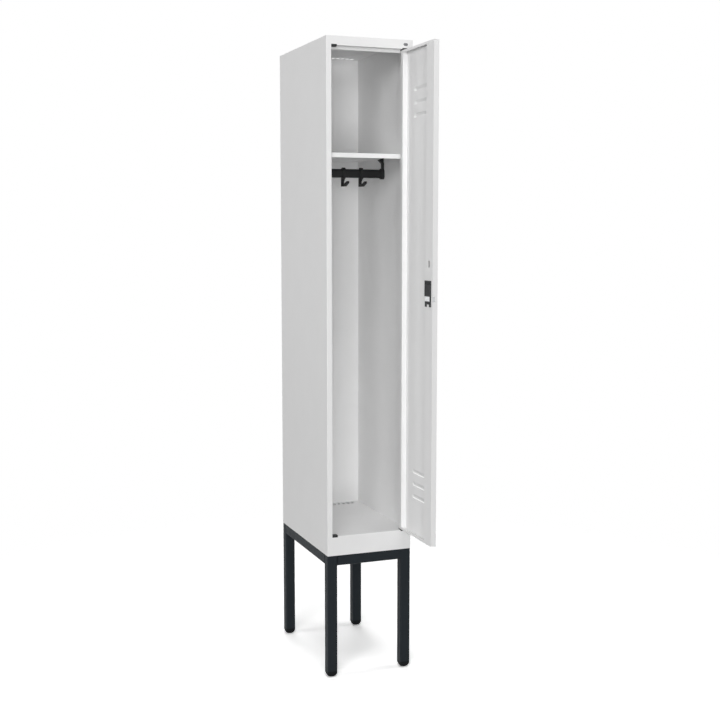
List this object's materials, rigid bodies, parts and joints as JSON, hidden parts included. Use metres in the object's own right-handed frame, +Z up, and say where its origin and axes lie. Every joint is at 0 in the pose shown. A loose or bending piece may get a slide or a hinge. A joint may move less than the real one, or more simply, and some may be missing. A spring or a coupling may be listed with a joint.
{
  "type": "clothes locker",
  "caption": "Tall narrow sheet-steel clothes locker on a square-tube stand, with a louvred hinged door and lock, hat shelf, and a coat rail with sliding hooks.",
  "frame": {"origin": "on the ground under the middle of the whole part, open door included", "axes": "+X to the right seen from the front, +Y to the back, +Z up"},
  "size_m": [0.3, 0.75, 2.12],
  "materials": {
    "cabinet_paint": "light grey powder coat",
    "stand_paint": "anthracite powder coat",
    "black_plastic": "moulded",
    "rail_coating": "black plastic-coated steel",
    "plug_plastic": "moulded",
    "plated_steel": "zinc plated",
    "black_zinc": "zinc plated and blackened"
  },
  "bodies": {
    "cabinet": {"left_side_panel": "cabinet_paint", "right_side_panel": "cabinet_paint", "left_post": "cabinet_paint", "right_post": "cabinet_paint", "back_panel": "cabinet_paint", "roof_panel": "cabinet_paint", "floor_panel": "cabinet_paint", "hat_shelf": "cabinet_paint", "shelf_supports": "cabinet_paint", "leg_front_left": "stand_paint", "leg_front_right": "stand_paint", "leg_rear_left": "stand_paint", "leg_rear_right": "stand_paint", "stand_rail_front": "stand_paint", "stand_rail_rear": "stand_paint", "stand_rail_left": "stand_paint", "stand_rail_right": "stand_paint", "rail_bracket_left": "black_plastic", "rail_bracket_right": "black_plastic", "hinge_bush_top": "black_plastic", "hinge_bush_bottom": "black_plastic", "corner_bush_top": "black_plastic", "corner_bush_bottom": "black_plastic", "foot_front_left": "black_plastic", "foot_front_right": "black_plastic", "foot_rear_left": "black_plastic", "foot_rear_right": "black_plastic", "coat_rail": "rail_coating", "header_plug": "plug_plastic", "stand_bolts": "plated_steel", "stand_nuts": "plated_steel"},
    "door": {"door_panel": "cabinet_paint", "door_hinge_stile": "cabinet_paint", "door_lock_stile": "cabinet_paint", "hinge_pin_top": "plated_steel", "hinge_pin_bottom": "plated_steel", "lock_housing": "black_plastic", "lock_cover": "black_plastic", "lock_screws": "black_zinc", "cylinder_sleeve": "plated_steel"},
    "key_plug": {"lock_plug": "plated_steel"},
    "bolt": {"lock_bolt": "plated_steel"},
    "hook_left": {"coat_hook_left": "black_plastic"},
    "hook_middle": {"coat_hook_middle": "black_plastic"},
    "hook_right": {"coat_hook_right": "black_plastic"}
  },
  "joints": [
    {"name": "door_hinge", "type": "hinge", "parent": "cabinet", "child": "door", "pos_m": [0.125, -0.119, 1.288], "axis": [0, 0, 1], "range_deg": [-90, 10]},
    {"name": "key_turn", "type": "hinge", "parent": "door", "child": "key_plug", "pos_m": [0.1335, -0.343, 1.286], "axis": [1, 0, 0], "range_deg": [0, 90]},
    {"name": "bolt_slide", "type": "slide", "parent": "door", "child": "bolt", "axis": [0, -1, 0], "range_m": [0, 0.01]},
    {"name": "hook_left_slide", "type": "slide", "parent": "cabinet", "child": "hook_left", "axis": [1, 0, 0], "range_m": [-0.06, 0.025]},
    {"name": "hook_middle_slide", "type": "slide", "parent": "cabinet", "child": "hook_middle", "axis": [1, 0, 0], "range_m": [-0.025, 0.025]},
    {"name": "hook_right_slide", "type": "slide", "parent": "cabinet", "child": "hook_right", "axis": [1, 0, 0], "range_m": [-0.025, 0.06]}
  ],
  "couplings": [
    {"joint": "key_turn", "follows": "bolt_slide", "rad_per_m": 157.08}
  ]
}
